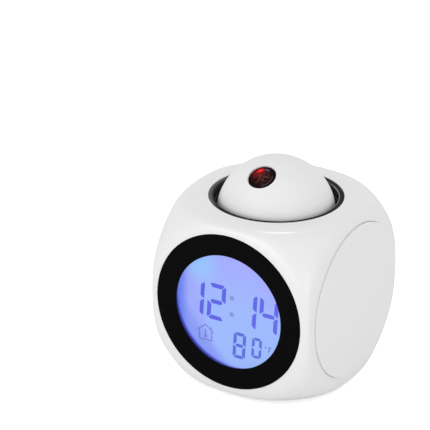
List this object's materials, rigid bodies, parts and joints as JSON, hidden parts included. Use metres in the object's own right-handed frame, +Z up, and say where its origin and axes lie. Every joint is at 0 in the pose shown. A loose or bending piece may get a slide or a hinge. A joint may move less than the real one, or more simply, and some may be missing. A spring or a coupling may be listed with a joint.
{
  "type": "projection alarm clock",
  "caption": "Cube-shaped alarm clock with a round backlit display, keys and speaker behind, and a tilting, pressable projector ball in its top.",
  "frame": {"origin": "on the table, under the middle of the case", "axes": "+Z up, -Y out of the display, +X to the right of someone who reads it"},
  "size_m": [0.0814, 0.08, 0.0982],
  "materials": {
    "case_white": "satin white moulded ABS",
    "ball_white": "glossy white moulded ABS",
    "key_white": "fine matt white plastic",
    "bezel_black": "fine matt black plastic",
    "well_black": "satin black plastic",
    "window_clear": "clear polished acrylic",
    "carrier_white": "white moulded plastic",
    "display_blue": "lit blue liquid crystal display",
    "guide_clear": "clear acrylic, blue lit",
    "reflector": "matt white film",
    "led_body": "clear resin",
    "contact_rubber": "striped conductive silicone",
    "board_green": "green solder mask",
    "resin_black": "black epoxy",
    "steel": "bright zinc plated steel",
    "sensor_brown": "brown glazed bead",
    "switch_black": "black nylon",
    "lens_red": "dark red polished lens",
    "slide_red": "small liquid crystal slide",
    "condenser_clear": "clear moulded lens",
    "led_red": "red tinted resin",
    "cone_black": "black paper cone",
    "magnet_grey": "grey ferrite",
    "foot_rubber": "soft grey rubber",
    "cell_wrap": "plain blue shrink wrap"
  },
  "bodies": {
    "case": {"main_shell": "case_white", "side_cover_left": "case_white", "side_cover_right": "case_white", "front_bezel": "bezel_black", "display_window": "window_clear", "display_carrier": "carrier_white", "display_glass_front": "display_blue", "display_glass_rear": "display_blue", "light_guide": "guide_clear", "reflector_sheet": "reflector", "backlight_leds": "led_body", "contact_strips": "contact_rubber", "main_board": "board_green", "controller_blob": "resin_black", "clock_crystal": "steel", "temperature_sensor": "sensor_brown", "display_screws": "steel", "board_screws": "steel", "top_ring": "well_black", "ring_screws": "steel", "spring_plate": "carrier_white", "spring_plate_screws": "steel", "talk_switch": "switch_black", "return_springs": "steel", "rear_cover": "case_white", "rear_screws": "steel", "speaker_frame": "steel", "speaker_cone": "cone_black", "speaker_magnet": "magnet_grey", "key_board": "board_green", "key_switches": "switch_black", "key_board_screws": "steel", "base_plate": "case_white", "base_screws": "steel", "feet": "foot_rubber", "battery_plates": "steel", "battery_springs": "steel", "cell_left": "cell_wrap", "cell_middle": "cell_wrap", "cell_right": "cell_wrap"},
    "cradle": {"cradle": "well_black"},
    "ball": {"ball_front_shell": "ball_white", "ball_rear_shell": "ball_white", "ball_screws": "steel", "pivot_pins": "steel", "projector_lens": "lens_red", "lens_barrel": "switch_black", "projector_display": "slide_red", "condenser_lens": "condenser_clear", "projector_led": "led_red", "projector_board": "board_green"},
    "mode_key": {"key_mode": "key_white"},
    "set_key": {"key_set": "key_white"},
    "up_key": {"key_up_button": "key_white"},
    "down_key": {"key_down_button": "key_white"},
    "door": {"battery_door": "case_white"}
  },
  "joints": [
    {"name": "ball_press", "type": "slide", "parent": "case", "child": "cradle", "axis": [0, 0, -1], "range_m": [0, 0.0015], "stiffness_N_per_m": 2500, "springref_m": -0.0012, "deforming": ["return_springs"]},
    {"name": "ball_tilt", "type": "hinge", "parent": "cradle", "child": "ball", "pos_m": [0, 0, 0.0723], "axis": [-1, 0, 0], "range_deg": [-25, 85]},
    {"name": "mode_press", "type": "slide", "parent": "case", "child": "mode_key", "axis": [0, -1, 0], "range_m": [0, 0.0006], "stiffness_N_per_m": 1000, "springref_m": -0.0003},
    {"name": "set_press", "type": "slide", "parent": "case", "child": "set_key", "axis": [0, -1, 0], "range_m": [0, 0.0006], "stiffness_N_per_m": 1000, "springref_m": -0.0003},
    {"name": "up_press", "type": "slide", "parent": "case", "child": "up_key", "axis": [0, -1, 0], "range_m": [0, 0.0006], "stiffness_N_per_m": 1000, "springref_m": -0.0003},
    {"name": "down_press", "type": "slide", "parent": "case", "child": "down_key", "axis": [0, -1, 0], "range_m": [0, 0.0006], "stiffness_N_per_m": 1000, "springref_m": -0.0003},
    {"name": "door_swing", "type": "hinge", "parent": "case", "child": "door", "pos_m": [0, 0.02365, 0.0022], "axis": [1, 0, 0], "range_deg": [0, 80]}
  ]
}
